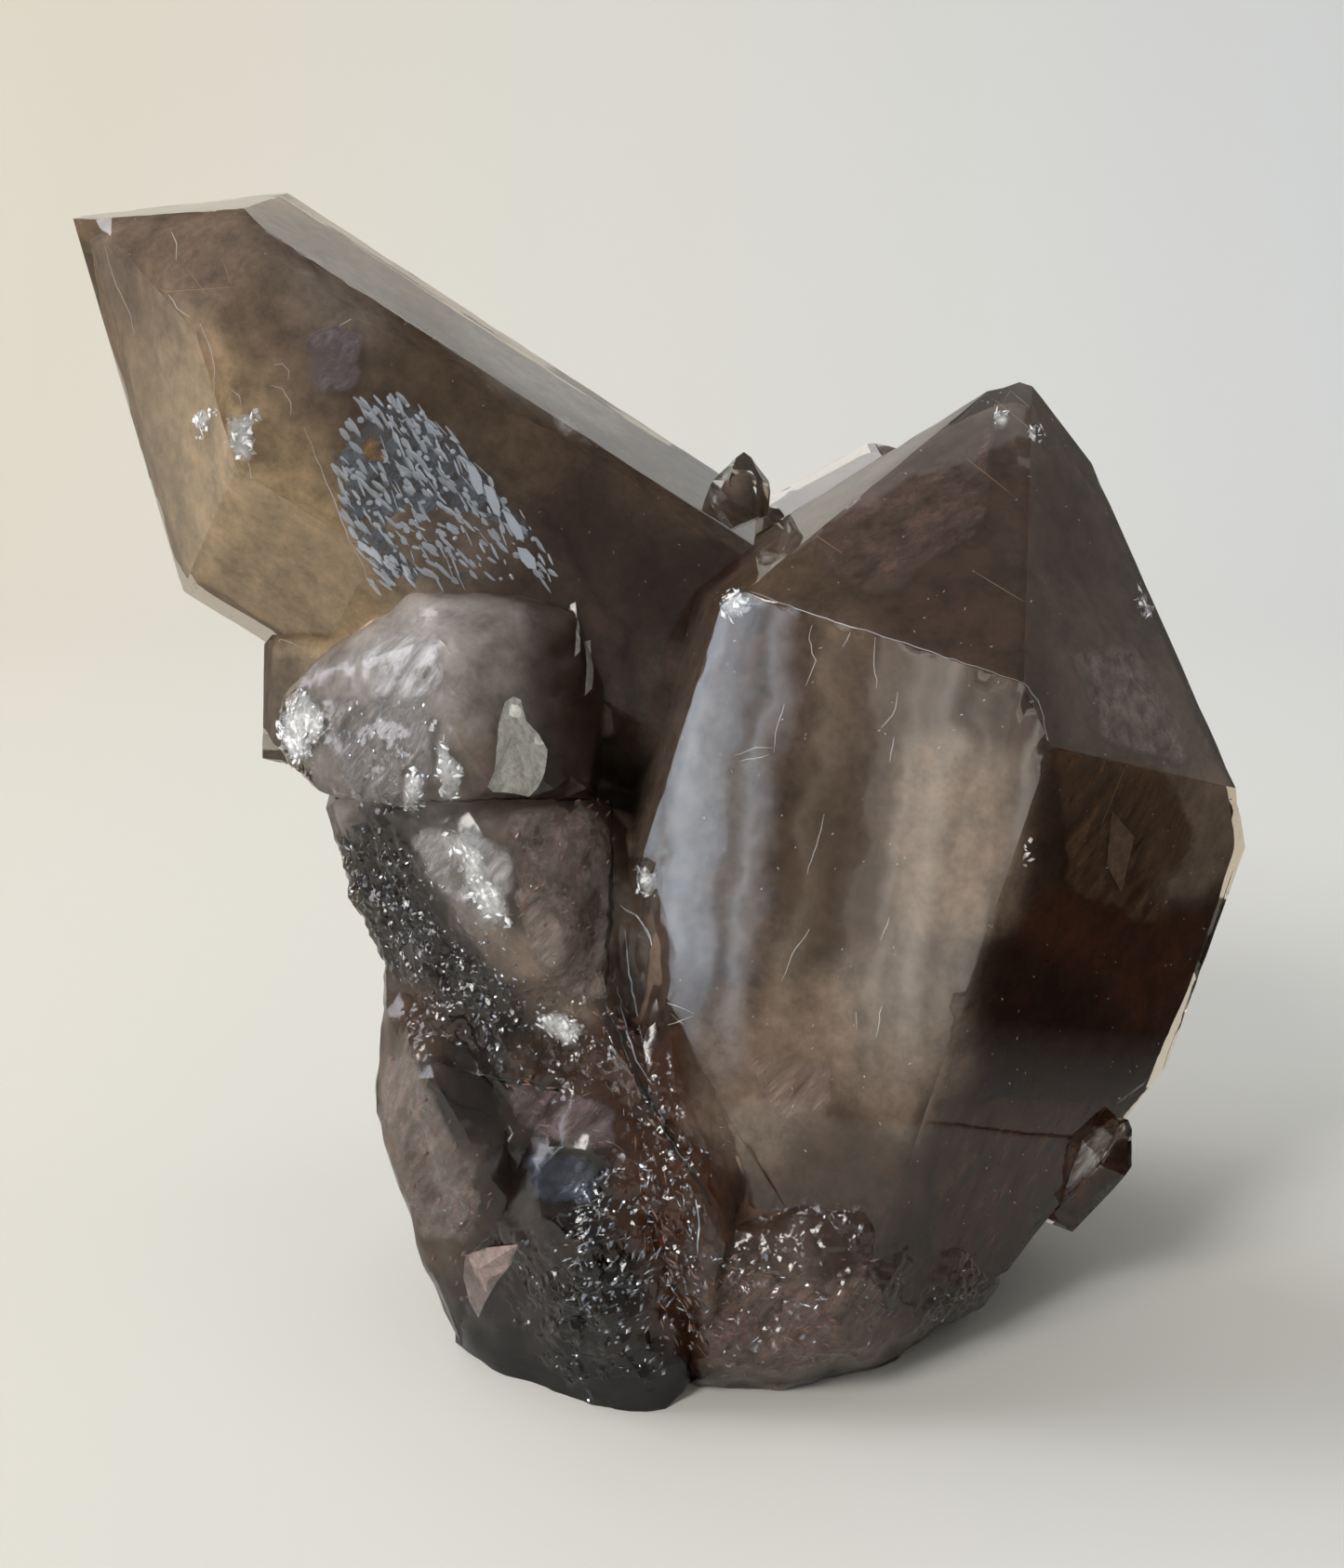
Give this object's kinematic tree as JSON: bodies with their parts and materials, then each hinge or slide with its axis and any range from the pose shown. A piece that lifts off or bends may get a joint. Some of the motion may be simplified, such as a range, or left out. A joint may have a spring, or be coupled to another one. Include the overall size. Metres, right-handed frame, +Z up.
{
  "type": "smoky quartz cluster",
  "caption": "Smoky quartz cluster: large clear pointed crystals lean apart in a V from a broken, hackly root that is cut flat to stand on.",
  "frame": {"origin": "on the flat cut that the cluster stands on, near its middle", "axes": "+Z up from the cut, -Y towards the side with the widest crystal face, +X towards the tall crystal"},
  "size_m": [0.1802, 0.115, 0.1668],
  "materials": {
    "smoky_quartz": "clear smoky brown quartz, glassy growth faces, hackly broken root"
  },
  "bodies": {
    "root": {"quartz_cluster": "smoky_quartz"}
  },
  "joints": []
}
